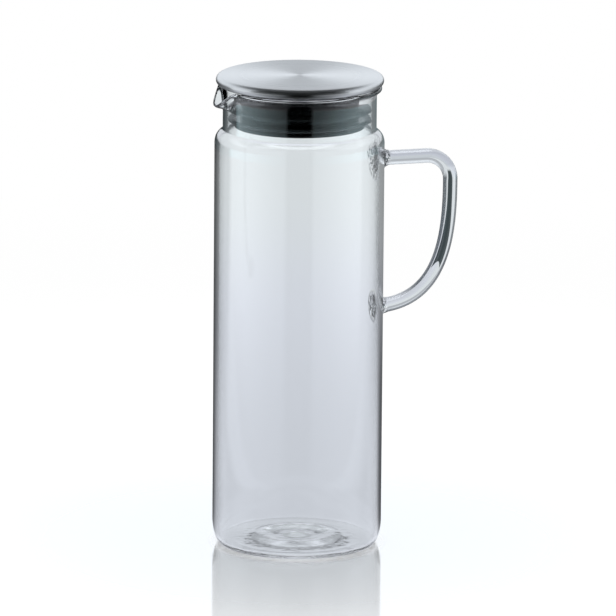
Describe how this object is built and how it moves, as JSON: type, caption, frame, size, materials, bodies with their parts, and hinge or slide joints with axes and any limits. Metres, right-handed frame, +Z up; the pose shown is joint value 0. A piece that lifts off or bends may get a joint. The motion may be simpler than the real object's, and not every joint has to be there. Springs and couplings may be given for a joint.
{
  "type": "glass pitcher",
  "caption": "Tall straight-sided clear glass pitcher with a D-shaped glass rod handle, a pouring spout and a lift-out stopper lid under a flat brushed steel cap.",
  "frame": {"origin": "middle of the base, on the surface that the pitcher stands on, on the axis of the glass body", "axes": "+Z up along the glass body's axis, +X towards the handle, -X towards the spout"},
  "size_m": [0.1501, 0.1, 0.2814],
  "materials": {
    "glass": "clear blown glass, fire polished",
    "steel": "spun brushed stainless steel",
    "dark_plastic": "satin moulded dark plastic",
    "dark_silicone": "matte dark silicone"
  },
  "bodies": {
    "vessel": {"glass_body": "glass", "glass_handle": "glass"},
    "lid": {"lid_cap": "steel", "lid_plug": "dark_plastic", "upper_seal": "dark_silicone", "lower_seal": "dark_silicone"}
  },
  "joints": [
    {"name": "lid_lift", "type": "slide", "parent": "vessel", "child": "lid", "axis": [0, 0, 1], "range_m": [0, 0.06]}
  ]
}
